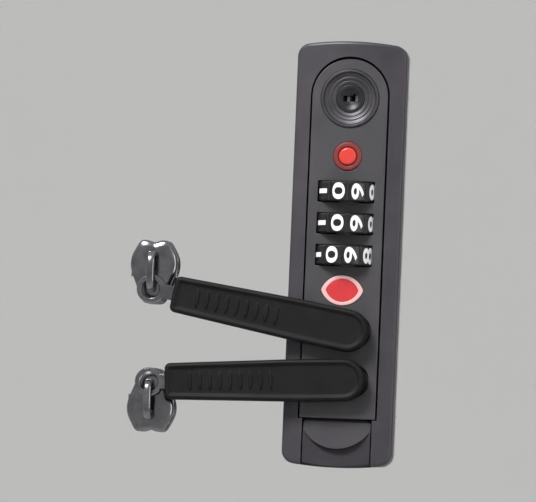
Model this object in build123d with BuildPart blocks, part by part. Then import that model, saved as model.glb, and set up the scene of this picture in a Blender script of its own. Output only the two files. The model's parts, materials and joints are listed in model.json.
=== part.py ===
from build123d import *
import os
from math import cos, hypot, radians, sin

# Three-dial zipper lock for the side wall of a travel case, with its two moulded zipper pulls latched in.
# Millimetres. +Z runs up the lock's length, the front faces -Y, and Y = 0 is the outside of the case wall.

os.makedirs("parts", exist_ok=True)

# ---- bezel -------------------------------------------------------------------------------------
LOCK_LENGTH = 96.0  # over the bowed ends
SIDE_LENGTH = 94.0  # along the straight sides
LOCK_WIDTH = 25.0
CORNER_R = 3.0
EDGE_HEIGHT = 2.4  # the bezel's height at its rim
CROWN_HEIGHT = 4.2  # and along its middle
RIM_FILLET = 0.7
ARCH_Z = 35.5  # centre of the arched top of the opening
OPENING_R = 9.0
BUTTON_SLOT_W = 15.9
BUTTON_SLOT_TOP = -37.2
SILL_Z = -44.6  # below this the button runs over a thin sill
SILL_T = 0.8
REBATE = 0.8  # the housing's front edge sits this deep in the bezel's back

# ---- face plate --------------------------------------------------------------------------------
PLATE_R = 8.6  # half width, and the radius of its arched top
PLATE_FRONT = 3.6  # distance of its face in front of the wall
PLATE_T = 1.4
PLATE_THIN_T = 0.8  # round the dial windows
RELIEF_TOP, RELIEF_LOW = 18.1, -5.8
PLATE_BOTTOM = -37.0
POCKET_T = 1.2
POCKET_W = 13.0
POCKET_H = 7.2
POCKET_X = 0.3
POCKET_BACK = 0.4  # back of the thick lower part, in front of the wall
TONGUE_SLOT_W = 7.2
TONGUE_SLOT_H = 2.8
FOOT_T = 0.8  # feet that stand on the housing's front edge
FOOT_SPANS = ((27.0, 8.0), (-8.0, 6.0))  # each pair's middle and height
BADGE_Z = -8.2
BADGE_W, BADGE_H = 9.6, 6.8
BADGE_RIM_W = 0.8
BADGE_TIP_R = 0.6
BADGE_SEAT = 0.5
BADGE_PROUD = 0.15  # of the enamel, and the rim stands a little higher
FIT = 0.1  # gap all round a part that is set in

# ---- housing behind the wall -------------------------------------------------------------------
HOUSING_W = 19.6
HOUSING_TOP = 45.4
HOUSING_BOTTOM = -45.8
HOUSING_BACK = 12.5
HOUSING_WALL = 1.2
COVER_T = 1.2
CASE_WALL = 2.2  # thickness of the case wall the lock is made for
BACKING_W = 24.8
BACKING_L = 95.0
BACKING_T = 1.2
PEG_X, PEG_Z = 11.2, 36.0
PEG_R, PEG_LENGTH = 1.2, 2.0
PILOT_R = 0.75
BOSS_X = 6.9
BOSS_ZS = (42.3, -42.7)
BOSS_R = 1.8
BOSS_FRONT = 8.0

# ---- dials and reset ---------------------------------------------------------------------------
DIAL_PITCH = 7.17
DIAL_TOP_Z = 14.0
DIAL_ZS = [DIAL_TOP_Z - i * DIAL_PITCH for i in range(3)]
DIAL_R = 7.1
DIAL_WIDTH = 4.4
DIAL_BORE = 3.3
WINDOW_R = 7.4
WINDOW_H = 4.85
DIGITS = 10
DIAL_REST = (-10.5, -10.5, -19.0)  # the index line is left of the middle, and the third dial is off it
SLEEVE_R = 3.25
TOOTH_TIP_R = 3.75
TOOTH_W = 0.8
NOTCH_TIP_R = 4.1
NOTCH_W = 1.4
COLLAR_R = 2.4
SHAFT_R = 1.25
RUNNING = 0.05  # radial clearance of a turning fit
SHAFT_TOP = 21.1
SHAFT_BOTTOM = -10.6
RESET_Z = 22.0
RESET_R = 2.0
RESET_COLLAR_R = 3.3
WEDGE_Z = 21.5  # height of the 45 degree wedge face where it crosses the dial axis

# ---- key cylinder ------------------------------------------------------------------------------
KEY_Z = 35.1
KEY_DISC_R = 6.6
KEY_BODY_R = 5.6
PLUG_R = 3.2
KEYWAY_W, KEYWAY_H = 3.6, 1.4
CAM_BASE_R = 2.6
BYPASS_TRAVEL = 2.0
KEY_TURN = 90.0
CAM_FRONT, CAM_BACK = 9.9, 11.1

# ---- release button and latch ------------------------------------------------------------------
BUTTON_W = 15.3
BUTTON_TOP = -37.4
BUTTON_BOTTOM = -47.1
BUTTON_BOW = 0.8
BUTTON_BACK = 1.1
BUTTON_FRONT = 3.2
CREST_SIDE_Z = -39.4  # the thumb ramp's curved crest, at the button's sides
CREST_LOW_Z = -43.8  # and in its middle
CREST_FRONT = 4.5
RAMP_FOOT = 2.5  # height of the ramp's upper end in front of the wall
RELEASE_TRAVEL = 4.5
PULL_TRAVEL = 9.0
HOOK_DEPTH = 1.0  # how far a hook reaches into a tongue's eye

# ---- pulls and zipper sliders ------------------------------------------------------------------
TONGUE_W, TONGUE_T = 6.0, 1.6
TONGUE_TIP = 5.2
EYE_W, EYE_FRONT, EYE_BACK = 4.0, 0.6, 4.0
STRAP_BACK = 4.5
STRAP_T = 3.0
STRAP_R = 4.75
STRAP_LENGTH = 40.6
STRAP_TAPER = 28.0
STRAP_TAIL_HALF_W = 4.1
STRAP_CORNER = 1.0
BOSS_END_R = 2.9
RING_R, RING_HOLE_R = 3.2, 2.0
RING_FRONT, RING_BACK = 5.9, 4.9
# each pull: tongue centre (x, z), crown leg centre (x, z), and which way its slider lies along the zipper
PULLS = {
    "upper": ((1.9, -17.3), (-43.3, -9.4), 1),
    "lower": ((1.5, -28.4), (-42.8, -30.3), -1),
}
SLIDER_LENGTH = 14.4
SLIDER_W = 10.6
SLIDER_NOSE_W = 5.0
SLIDER_PLATE_T = 1.2
SLIDER_FRONT = 3.2
SLIDER_GAP = 3.0
CROWN_HALF = 4.0
CROWN_W = 1.7
CROWN_TOP = 7.7
CROWN_BAR_T = 1.1


def at(y):
    """The plane parallel to the case wall at this Y, facing the front."""
    return Plane.XZ.offset(-y)


def lens(half_w, half_h):
    """A flat lens lying across the lock, with rounded tips."""
    with BuildSketch() as shape:
        with BuildLine():
            ThreePointArc((-half_w, 0), (0, half_h), (half_w, 0))
            ThreePointArc((half_w, 0), (0, -half_h), (-half_w, 0))
        make_face()
        fillet(vertices(), BADGE_TIP_R)
    return shape.sketch


# ================================================================================================
# bezel: a domed frame whose back rests on the case wall
# ================================================================================================
with BuildPart() as bezel:
    with BuildSketch(at(0)):
        with BuildLine():
            Polyline(
                (LOCK_WIDTH / 2, SIDE_LENGTH / 2),
                (LOCK_WIDTH / 2, -SIDE_LENGTH / 2),
            )
            ThreePointArc(
                (LOCK_WIDTH / 2, -SIDE_LENGTH / 2),
                (0, -LOCK_LENGTH / 2),
                (-LOCK_WIDTH / 2, -SIDE_LENGTH / 2),
            )
            Line((-LOCK_WIDTH / 2, -SIDE_LENGTH / 2), (-LOCK_WIDTH / 2, SIDE_LENGTH / 2))
            ThreePointArc(
                (-LOCK_WIDTH / 2, SIDE_LENGTH / 2),
                (0, LOCK_LENGTH / 2),
                (LOCK_WIDTH / 2, SIDE_LENGTH / 2),
            )
        make_face()
        fillet(vertices(), CORNER_R)
    extrude(amount=CROWN_HEIGHT + 1)
    with BuildSketch(Plane.XY.offset(-LOCK_LENGTH / 2 - 1)):
        with BuildLine():
            Polyline(
                (-LOCK_WIDTH / 2, -EDGE_HEIGHT),
                (-LOCK_WIDTH / 2, 0),
                (LOCK_WIDTH / 2, 0),
                (LOCK_WIDTH / 2, -EDGE_HEIGHT),
            )
            ThreePointArc(
                (LOCK_WIDTH / 2, -EDGE_HEIGHT),
                (0, -CROWN_HEIGHT),
                (-LOCK_WIDTH / 2, -EDGE_HEIGHT),
            )
        make_face()
    extrude(amount=LOCK_LENGTH + 2, mode=Mode.INTERSECT)
    fillet(bezel.edges().filter_by(lambda e: e.center().Y < -EDGE_HEIGHT / 2 - 0.5), RIM_FILLET)
    # the opening for the face plate, arched at the top
    with BuildSketch(at(0)):
        with Locations((0, ARCH_Z)):
            Circle(OPENING_R)
        with Locations((0, (ARCH_Z + BUTTON_SLOT_TOP) / 2)):
            Rectangle(2 * OPENING_R, ARCH_Z - BUTTON_SLOT_TOP)
        with Locations((0, (BUTTON_SLOT_TOP + SILL_Z) / 2)):
            Rectangle(BUTTON_SLOT_W, BUTTON_SLOT_TOP - SILL_Z)
    extrude(amount=CROWN_HEIGHT + 1, mode=Mode.SUBTRACT)
    # the button's way down over the sill
    with BuildSketch(at(-SILL_T)):
        with Locations((0, SILL_Z)):
            Rectangle(BUTTON_SLOT_W, LOCK_LENGTH / 2 + SILL_Z + 5)
    extrude(amount=CROWN_HEIGHT, mode=Mode.SUBTRACT)
    # rebate for the housing
    with BuildSketch(at(0)):
        with Locations((0, (HOUSING_TOP + HOUSING_BOTTOM) / 2)):
            RectangleRounded(HOUSING_W + 0.2, HOUSING_TOP - HOUSING_BOTTOM + 0.2, 2.1)
    extrude(amount=REBATE, mode=Mode.SUBTRACT)
    # pegs through the case wall, drilled for the backing plate's screws
    with BuildSketch(at(0)):
        with GridLocations(2 * PEG_X, 2 * PEG_Z, 2, 2):
            Circle(PEG_R)
    extrude(amount=-PEG_LENGTH)
    with BuildSketch(at(PEG_LENGTH)):
        with GridLocations(2 * PEG_X, 2 * PEG_Z, 2, 2):
            Circle(PILOT_R)
    extrude(amount=PEG_LENGTH + 1.0, mode=Mode.SUBTRACT)
bezel.part.label = "bezel"
export_step(bezel.part, "parts/bezel.step")

# ================================================================================================
# face plate: the flat panel with the dial windows and the two pockets for the pulls
# ================================================================================================
POCKET_ZS = [PULLS[name][0][1] for name in PULLS]
THICK_TOP = POCKET_ZS[0] + POCKET_H / 2 + POCKET_T
THICK_BOTTOM = POCKET_ZS[1] - POCKET_H / 2 - POCKET_T + 0.4
with BuildPart() as face_plate:
    with BuildSketch(at(-PLATE_FRONT)):
        with Locations((0, ARCH_Z)):
            Circle(PLATE_R)
        with Locations((0, (ARCH_Z + PLATE_BOTTOM) / 2)):
            Rectangle(2 * PLATE_R, ARCH_Z - PLATE_BOTTOM)
    extrude(amount=-PLATE_T)
    fillet(face_plate.faces().sort_by(Axis.Y)[0].edges(), 0.25)
    with BuildSketch(at(-PLATE_FRONT + PLATE_T)):
        with Locations((0, (THICK_TOP + THICK_BOTTOM) / 2)):
            Rectangle(2 * PLATE_R, THICK_TOP - THICK_BOTTOM)
    extrude(amount=-(PLATE_FRONT - PLATE_T - POCKET_BACK))
    # feet that stand on the housing's edge
    with BuildSketch(at(-PLATE_FRONT + PLATE_T)):
        for foot_z, foot_h in FOOT_SPANS:
            with Locations(
                (-PLATE_R + FOOT_T / 2, foot_z),
                (PLATE_R - FOOT_T / 2, foot_z),
            ):
                Rectangle(FOOT_T, foot_h)
    extrude(amount=-(PLATE_FRONT - PLATE_T - REBATE))
    # relief behind the dial windows
    with BuildSketch(at(-PLATE_FRONT + PLATE_T)):
        with Locations((0, (RELIEF_TOP + RELIEF_LOW) / 2)):
            Rectangle(2 * DIAL_R, RELIEF_TOP - RELIEF_LOW)
    extrude(amount=PLATE_T - PLATE_THIN_T, mode=Mode.SUBTRACT)
    for z in DIAL_ZS:
        with BuildSketch(Plane.XY.offset(z - WINDOW_H / 2)):
            Circle(WINDOW_R)
        extrude(amount=WINDOW_H, mode=Mode.SUBTRACT)
    # openings for the key cylinder and the reset button's collar
    with BuildSketch(at(0)):
        with Locations((0, KEY_Z)):
            Circle(KEY_DISC_R + RUNNING)
        with Locations((0, RESET_Z)):
            Circle(RESET_COLLAR_R + RUNNING)
    extrude(amount=PLATE_FRONT + 1, mode=Mode.SUBTRACT)
    # pockets, then the slots through their floors
    with BuildSketch(at(-PLATE_FRONT)):
        for z in POCKET_ZS:
            with Locations((POCKET_X, z)):
                RectangleRounded(POCKET_W, POCKET_H, POCKET_H / 2 - 0.4)
    extrude(amount=-(PLATE_FRONT - POCKET_BACK - POCKET_T), mode=Mode.SUBTRACT)
    with BuildSketch(at(-PLATE_FRONT)):
        for name in PULLS:
            with Locations(PULLS[name][0]):
                RectangleRounded(TONGUE_SLOT_W, TONGUE_SLOT_H, 0.8)
    extrude(amount=-PLATE_FRONT, mode=Mode.SUBTRACT)
    # shallow seat for the badge
    with BuildSketch(at(-PLATE_FRONT)):
        with Locations((0, BADGE_Z)):
            add(lens(BADGE_W / 2 + FIT, BADGE_H / 2 + FIT))
    extrude(amount=-BADGE_SEAT, mode=Mode.SUBTRACT)
face_plate.part.label = "face_plate"
export_step(face_plate.part, "parts/face_plate.step")

# badge: a plain enamel lens in a pale rim
RIM_INNER_W = BADGE_W / 2 - 1.4 * BADGE_RIM_W
RIM_INNER_H = BADGE_H / 2 - BADGE_RIM_W
with BuildPart() as badge_rim:
    with BuildSketch(at(-PLATE_FRONT + BADGE_SEAT)):
        with Locations((0, BADGE_Z)):
            add(lens(BADGE_W / 2, BADGE_H / 2))
            add(lens(RIM_INNER_W, RIM_INNER_H), mode=Mode.SUBTRACT)
    extrude(amount=BADGE_SEAT + BADGE_PROUD + FIT)
    fillet(badge_rim.faces().sort_by(Axis.Y)[0].edges(), 0.15)
badge_rim.part.label = "badge_rim"
export_step(badge_rim.part, "parts/badge_rim.step")

with BuildPart() as badge:
    with BuildSketch(at(-PLATE_FRONT + BADGE_SEAT)):
        with Locations((0, BADGE_Z)):
            add(lens(RIM_INNER_W - RUNNING, RIM_INNER_H - RUNNING))
    extrude(amount=BADGE_SEAT + BADGE_PROUD)
badge.part.label = "badge"
export_step(badge.part, "parts/badge.step")

# ================================================================================================
# housing: the box behind the case wall, open at the front and at the back
# ================================================================================================
RIB_TOP_Z, RIB_TOP_T = 18.3, 1.2
RIB_LOW_Z, RIB_LOW_T = -9.6, 1.0
RIB_DEPTH, RIB_MIDDLE = 4.0, 1.6
BEARING_W, BEARING_DEPTH, BEARING_MIDDLE = 6.0, 5.0, 0.6
SHELF_FRONT, SHELF_T, SHELF_H = 1.0, 2.0, 13.2
POST_X, POST_Z, POST_W, POST_H = 6.8, -6.2, 4.6, 2.0
POST_FRONT, POST_T = 7.75, 2.0
with BuildPart() as housing:
    with BuildSketch(at(-REBATE)):
        with Locations((0, (HOUSING_TOP + HOUSING_BOTTOM) / 2)):
            RectangleRounded(HOUSING_W, HOUSING_TOP - HOUSING_BOTTOM, 2.0)
            RectangleRounded(
                HOUSING_W - 2 * HOUSING_WALL,
                HOUSING_TOP - HOUSING_BOTTOM - 2 * HOUSING_WALL,
                0.9,
                mode=Mode.SUBTRACT,
            )
    extrude(amount=-(HOUSING_BACK + REBATE))
    # bearings for the dial shaft, one above and one below the dials
    for z, t in ((RIB_TOP_Z, RIB_TOP_T), (RIB_LOW_Z, RIB_LOW_T)):
        with BuildSketch(Plane.XY.offset(z)):
            with Locations((0, RIB_MIDDLE)):
                Rectangle(HOUSING_W - HOUSING_WALL, RIB_DEPTH)
            with Locations((0, BEARING_MIDDLE)):
                Rectangle(BEARING_W, BEARING_DEPTH)
            Circle(SHAFT_R + RUNNING, mode=Mode.SUBTRACT)
        extrude(amount=t)
    # shelf for the key cylinder
    with BuildSketch(at(SHELF_FRONT)):
        with Locations((0, KEY_Z)):
            Rectangle(HOUSING_W - HOUSING_WALL, SHELF_H)
            Circle(KEY_BODY_R + RUNNING, mode=Mode.SUBTRACT)
    extrude(amount=-SHELF_T)
    # bosses for the rear cover's screws
    with BuildSketch(at(HOUSING_BACK)):
        for z in BOSS_ZS:
            with Locations((-BOSS_X, z), (BOSS_X, z)):
                Circle(BOSS_R)
    extrude(amount=HOUSING_BACK - BOSS_FRONT)
    with BuildSketch(at(HOUSING_BACK)):
        for z in BOSS_ZS:
            with Locations((-BOSS_X, z), (BOSS_X, z)):
                Circle(PILOT_R)
    extrude(amount=HOUSING_BACK - BOSS_FRONT - 0.8, mode=Mode.SUBTRACT)
    # post for the detent spring
    with BuildSketch(at(POST_FRONT)):
        with Locations((POST_X, POST_Z)):
            Rectangle(POST_W, POST_H)
    extrude(amount=-POST_T)
housing.part.label = "housing"
export_step(housing.part, "parts/housing.step")

GUIDE_X, GUIDE_Z = 2.4, 23.0
GUIDE_W, GUIDE_L, GUIDE_T = 0.8, 10.0, 2.0
with BuildPart() as rear_cover:
    with BuildSketch(at(HOUSING_BACK)):
        with Locations((0, (HOUSING_TOP + HOUSING_BOTTOM) / 2)):
            RectangleRounded(HOUSING_W, HOUSING_TOP - HOUSING_BOTTOM, 2.0)
    extrude(amount=-COVER_T)
    # rails on each side of the bypass bar
    with BuildSketch(at(HOUSING_BACK)):
        with Locations((-GUIDE_X, GUIDE_Z), (GUIDE_X, GUIDE_Z)):
            Rectangle(GUIDE_W, GUIDE_L)
    extrude(amount=GUIDE_T)
    with BuildSketch(at(HOUSING_BACK + COVER_T)):
        for z in BOSS_ZS:
            with Locations((-BOSS_X, z), (BOSS_X, z)):
                Circle(PILOT_R + 0.2)
    extrude(amount=COVER_T, mode=Mode.SUBTRACT)
    chamfer(rear_cover.faces().sort_by(Axis.Y)[-1].outer_wire().edges(), 0.5)
rear_cover.part.label = "rear_cover"
export_step(rear_cover.part, "parts/rear_cover.step")


def screws(points, shank_front, seat, head_r, head_t):
    """Identical small screws entered from behind: shank, domed head and cross slot."""
    with BuildPart() as group:
        with BuildSketch(at(seat)):
            with Locations(*points):
                Circle(PILOT_R - RUNNING)
        extrude(amount=seat - shank_front)
        with BuildSketch(at(seat)):
            with Locations(*points):
                Circle(head_r)
        extrude(amount=-head_t)
        fillet(group.faces().sort_by(Axis.Y)[-len(points):].edges(), 0.25)
        with BuildSketch(at(seat + head_t)):
            with Locations(*points):
                Rectangle(head_r * 1.2, 0.4)
                Rectangle(0.4, head_r * 1.2)
        extrude(amount=head_t / 2, mode=Mode.SUBTRACT)
    return group


HEAD_T = 0.9
COVER_HEAD_R, MOUNT_HEAD_R = 1.5, 1.2
cover_screws = screws(
    [(x, z) for x in (-BOSS_X, BOSS_X) for z in BOSS_ZS],
    BOSS_FRONT + 1.2,
    HOUSING_BACK + COVER_T,
    COVER_HEAD_R,
    HEAD_T,
)
cover_screws.part.label = "cover_screws"
export_step(cover_screws.part, "parts/cover_screws.step")

mount_screws = screws(
    [(x, z) for x in (-PEG_X, PEG_X) for z in (-PEG_Z, PEG_Z)],
    -0.6,
    CASE_WALL + BACKING_T,
    MOUNT_HEAD_R,
    HEAD_T,
)
mount_screws.part.label = "mount_screws"
export_step(mount_screws.part, "parts/mount_screws.step")

# backing plate: clamps the case wall from inside
with BuildPart() as backing_plate:
    with BuildSketch(at(CASE_WALL)):
        RectangleRounded(BACKING_W, BACKING_L, 3.0)
        with Locations((0, (HOUSING_TOP + HOUSING_BOTTOM) / 2)):
            RectangleRounded(
                HOUSING_W + 0.3, HOUSING_TOP - HOUSING_BOTTOM + 0.6, 2.2, mode=Mode.SUBTRACT
            )
        with GridLocations(2 * PEG_X, 2 * PEG_Z, 2, 2):
            Circle(PILOT_R + 0.15, mode=Mode.SUBTRACT)
    extrude(amount=-BACKING_T)
    chamfer(backing_plate.faces().sort_by(Axis.Y)[-1].outer_wire().edges(), 0.2)
backing_plate.part.label = "backing_plate"
export_step(backing_plate.part, "parts/backing_plate.step")

# ================================================================================================
# key cylinder: a fixed dished shell, the turning plug with its wafers, and the cam behind
# ================================================================================================
KEY_AXIS = Axis((0, 0, KEY_Z), (0, 1, 0))
DISH_LIP_Y, DISH_FLOOR_Y = -4.0, -2.9
SHELL_BACK = 8.6
with BuildPart() as cylinder_shell:
    with BuildSketch(Plane.XY.offset(KEY_Z)):
        with BuildLine():
            Polyline(
                (PLUG_R + RUNNING, DISH_FLOOR_Y),
                (KEY_DISC_R - 0.9, DISH_LIP_Y + 0.5),
                (KEY_DISC_R - 0.55, DISH_LIP_Y),
                (KEY_DISC_R - 0.2, DISH_LIP_Y),
                (KEY_DISC_R, DISH_LIP_Y + 0.2),
                (KEY_DISC_R, -1.0),
                (KEY_BODY_R, -1.0),
                (KEY_BODY_R, SHELL_BACK),
                (PLUG_R + RUNNING, SHELL_BACK),
                (PLUG_R + RUNNING, DISH_FLOOR_Y),
            )
        make_face()
        # turned rings in the dish
        for r in (4.1, 5.0):
            with Locations((r, DISH_FLOOR_Y - 0.24 * (r - PLUG_R))):
                Circle(0.16, mode=Mode.SUBTRACT)
    revolve(axis=KEY_AXIS)
cylinder_shell.part.label = "cylinder_shell"
export_step(cylinder_shell.part, "parts/cylinder_shell.step")

WAFER_YS = (0.5, 2.5, 4.5, 6.5)
WAFER_T = 0.6
WAFER_W, WAFER_H = 2.6, 5.2
PLUG_FRONT, PLUG_BACK = -3.0, 8.9
CLIP_T = 0.6
TAIL_SQUARE = 2.6
with BuildPart() as key_plug:
    with BuildSketch(Plane.XY.offset(KEY_Z)):
        with BuildLine():
            Polyline(
                (0, PLUG_FRONT + 0.5),
                (1.6, PLUG_FRONT + 0.25),
                (2.5, PLUG_FRONT),
                (PLUG_R - 0.15, PLUG_FRONT),
                (PLUG_R, PLUG_FRONT + 0.15),
                (PLUG_R, PLUG_BACK),
                (PLUG_R - 0.6, PLUG_BACK),
                (PLUG_R - 0.6, PLUG_BACK + CLIP_T),
                (PLUG_R, PLUG_BACK + CLIP_T),
                (PLUG_R, CAM_FRONT),
                (0, CAM_FRONT),
                (0, PLUG_FRONT + 0.5),
            )
        make_face()
    revolve(axis=KEY_AXIS)
    with BuildSketch(at(CAM_FRONT)):
        with Locations((0, KEY_Z)):
            Rectangle(TAIL_SQUARE, TAIL_SQUARE)
    extrude(amount=-(CAM_BACK - CAM_FRONT + 0.3))
    # keyway with one ward
    with BuildSketch(at(PLUG_FRONT)):
        with Locations((0, KEY_Z)):
            RectangleRounded(KEYWAY_W, KEYWAY_H, 0.5)
        with Locations((0.9, KEY_Z + 0.55)):
            Rectangle(0.9, 1.0)
    extrude(amount=-(WAFER_YS[-1] - PLUG_FRONT + 1.0), mode=Mode.SUBTRACT)
    # slots across the plug for the wafers
    for y in WAFER_YS:
        with BuildSketch(at(y)):
            with Locations((0, KEY_Z)):
                Rectangle(WAFER_W + 0.2, 2 * PLUG_R)
        extrude(amount=-(WAFER_T + 0.1), mode=Mode.SUBTRACT)
key_plug.part.label = "key_plug"
export_step(key_plug.part, "parts/key_plug.step")

with BuildPart() as plug_wafers:
    for y in WAFER_YS:
        with BuildSketch(at(y + 0.05)):
            with Locations((0, KEY_Z)):
                Rectangle(WAFER_W, WAFER_H)
                Rectangle(1.2, 2.8, mode=Mode.SUBTRACT)
        extrude(amount=-WAFER_T)
plug_wafers.part.label = "plug_wafers"
export_step(plug_wafers.part, "parts/plug_wafers.step")

with BuildPart() as plug_clip:
    with BuildSketch(at(PLUG_BACK)):
        with Locations((0, KEY_Z)):
            Circle(PLUG_R + 0.9)
            Circle(PLUG_R - 0.6, mode=Mode.SUBTRACT)
        with Locations((0, KEY_Z - PLUG_R)):
            Rectangle(2.4, 3.0, mode=Mode.SUBTRACT)
    extrude(amount=-CLIP_T)
plug_clip.part.label = "plug_clip"
export_step(plug_clip.part, "parts/plug_clip.step")

# the cam's working edge grows evenly with the angle, so the bar below moves evenly with the key
CAM_RISE = BYPASS_TRAVEL / radians(KEY_TURN)
CAM_STEPS = 8
CAM_LEAD = 10.0


def cam_point(angle):
    """A point of the cam's edge, the angle counted from straight down towards +X."""
    r = CAM_BASE_R + CAM_RISE * radians(max(angle, 0.0))
    return (r * sin(radians(angle)), KEY_Z - r * cos(radians(angle)))


with BuildPart() as key_cam:
    with BuildSketch(at(CAM_FRONT)):
        with BuildLine():
            rise = Spline(
                *[cam_point(i * (KEY_TURN + CAM_LEAD) / CAM_STEPS) for i in range(CAM_STEPS + 1)]
            )
            Line(rise @ 1, (0, KEY_Z + CAM_BASE_R))
            ThreePointArc((0, KEY_Z + CAM_BASE_R), (-CAM_BASE_R, KEY_Z), (0, KEY_Z - CAM_BASE_R))
        make_face()
        with Locations((0, KEY_Z)):
            Rectangle(TAIL_SQUARE, TAIL_SQUARE, mode=Mode.SUBTRACT)
    extrude(amount=-(CAM_BACK - CAM_FRONT))
key_cam.part.label = "key_cam"
export_step(key_cam.part, "parts/key_cam.step")

BYPASS_TOP = KEY_Z - CAM_BASE_R - 0.3
BYPASS_LOW = 15.0
BYPASS_W, BYPASS_FOOT_W, BYPASS_FOOT_H = 3.0, 6.4, 1.6
with BuildPart() as bypass_bar:
    with BuildSketch(at(CAM_FRONT)):
        with Locations((0, (BYPASS_TOP + BYPASS_LOW) / 2)):
            Rectangle(BYPASS_W, BYPASS_TOP - BYPASS_LOW)
        with Locations((0, BYPASS_LOW + BYPASS_FOOT_H / 2)):
            Rectangle(BYPASS_FOOT_W, BYPASS_FOOT_H)
        chamfer(vertices().group_by(Axis.Y)[-1], 1.0)
    extrude(amount=-(CAM_BACK - CAM_FRONT))
bypass_bar.part.label = "bypass_bar"
export_step(bypass_bar.part, "parts/bypass_bar.step")

# ================================================================================================
# dials on their sleeves, and the shaft that the reset button shifts
# ================================================================================================
for number, (z, rest) in enumerate(zip(DIAL_ZS, DIAL_REST), start=1):
    with BuildPart() as dial:
        with BuildSketch(Plane.XY.offset(z - DIAL_WIDTH / 2)):
            Circle(DIAL_R)
        extrude(amount=DIAL_WIDTH)
        chamfer(dial.edges().filter_by(GeomType.CIRCLE), 0.3)
        with BuildSketch(Plane.XY.offset(z - DIAL_WIDTH / 2)):
            Circle(DIAL_BORE)
            with PolarLocations((DIAL_BORE + NOTCH_TIP_R) / 2, DIGITS, start_angle=rest):
                Rectangle(NOTCH_TIP_R - DIAL_BORE + 0.6, NOTCH_W)
            # finger grooves between the digits
            with PolarLocations(DIAL_R + 0.1, DIGITS, start_angle=rest - 90 + 180 / DIGITS):
                Circle(0.35)
        extrude(amount=DIAL_WIDTH, mode=Mode.SUBTRACT)
    dial.part.label = f"dial_{number}"
    export_step(dial.part, f"parts/dial_{number}.step")

SLEEVE_TOP = 2.9  # above the dial's middle
SPLINE_TOP, SPLINE_LOW = 2.0, -0.9
SLEEVE_LOW = SLEEVE_TOP - DIAL_PITCH + 0.3
GATE_W, GATE_DEPTH, GATE_TOP = 1.4, 0.7, -2.3
for number, (z, rest) in enumerate(zip(DIAL_ZS, DIAL_REST), start=1):
    with BuildPart() as sleeve:
        with BuildSketch(Plane.XY.offset(z + SLEEVE_LOW)):
            Circle(COLLAR_R)
        extrude(amount=SLEEVE_TOP - SLEEVE_LOW)
        with BuildSketch(Plane.XY.offset(z + SPLINE_LOW)):
            Circle(SLEEVE_R)
            with PolarLocations((SLEEVE_R + TOOTH_TIP_R) / 2, DIGITS, start_angle=rest):
                Rectangle(TOOTH_TIP_R - SLEEVE_R + 0.5, TOOTH_W)
        extrude(amount=SPLINE_TOP - SPLINE_LOW)
        with BuildSketch(Plane.XY.offset(z + SLEEVE_LOW)):
            Circle(SHAFT_R + RUNNING)
        extrude(amount=SLEEVE_TOP - SLEEVE_LOW, mode=Mode.SUBTRACT)
        # gate for the fence, open at the sleeve's lower end
        with BuildSketch(Plane.XY.offset(z + SLEEVE_LOW)):
            with PolarLocations(COLLAR_R, 1, start_angle=90 + rest):
                Rectangle(2 * GATE_DEPTH, GATE_W)
        extrude(amount=GATE_TOP - SLEEVE_LOW, mode=Mode.SUBTRACT)
    sleeve.part.label = f"clutch_sleeve_{number}"
    export_step(sleeve.part, f"parts/clutch_sleeve_{number}.step")

SHAFT_COLLAR_TOP = DIAL_ZS[2] + SLEEVE_LOW - 0.3
SHAFT_COLLAR_R, SHAFT_COLLAR_T = 1.9, 0.8
SHAFT_CLIP_Z = DIAL_ZS[0] + SLEEVE_TOP + 0.3
SHAFT_CLIP_T = 0.6
with BuildPart() as dial_shaft:
    with BuildSketch(Plane.XY.offset(SHAFT_BOTTOM)):
        Circle(SHAFT_R)
    extrude(amount=SHAFT_TOP - SHAFT_BOTTOM)
    chamfer(dial_shaft.faces().sort_by(Axis.Z)[-1].edges(), 1.0)
    with BuildSketch(Plane.XY.offset(SHAFT_COLLAR_TOP)):
        Circle(SHAFT_COLLAR_R)
    extrude(amount=-SHAFT_COLLAR_T)
    with BuildSketch(Plane.XY.offset(SHAFT_CLIP_Z)):
        Circle(SHAFT_R + 0.2)
        Circle(SHAFT_R - 0.3, mode=Mode.SUBTRACT)
    extrude(amount=SHAFT_CLIP_T, mode=Mode.SUBTRACT)
dial_shaft.part.label = "dial_shaft"
export_step(dial_shaft.part, "parts/dial_shaft.step")

with BuildPart() as shaft_clip:
    with BuildSketch(Plane.XY.offset(SHAFT_CLIP_Z)):
        Circle(2.3)
        Circle(SHAFT_R - 0.3, mode=Mode.SUBTRACT)
        with Locations((0, 1.6)):
            Rectangle(1.2, 2.4, mode=Mode.SUBTRACT)
    extrude(amount=SHAFT_CLIP_T)
shaft_clip.part.label = "shaft_clip"
export_step(shaft_clip.part, "parts/shaft_clip.step")

SPRING_WIRE, SPRING_COIL_R = 0.25, 1.6
SPRING_TOP = SHAFT_COLLAR_TOP - SHAFT_COLLAR_T - 0.1 - SPRING_WIRE
SPRING_LOW = RIB_LOW_Z + RIB_LOW_T + 0.1 + SPRING_WIRE
with BuildPart() as shaft_spring:
    with BuildLine():
        coil = Helix(
            pitch=(SPRING_TOP - SPRING_LOW) / 3,
            height=SPRING_TOP - SPRING_LOW,
            radius=SPRING_COIL_R,
            center=(0, 0, SPRING_LOW),
        )
    with BuildSketch(Plane(origin=coil @ 0, z_dir=coil % 0)):
        Circle(SPRING_WIRE)
    sweep(path=coil, is_frenet=True)
shaft_spring.part.label = "shaft_spring"
export_step(shaft_spring.part, "parts/shaft_spring.step")

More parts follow.
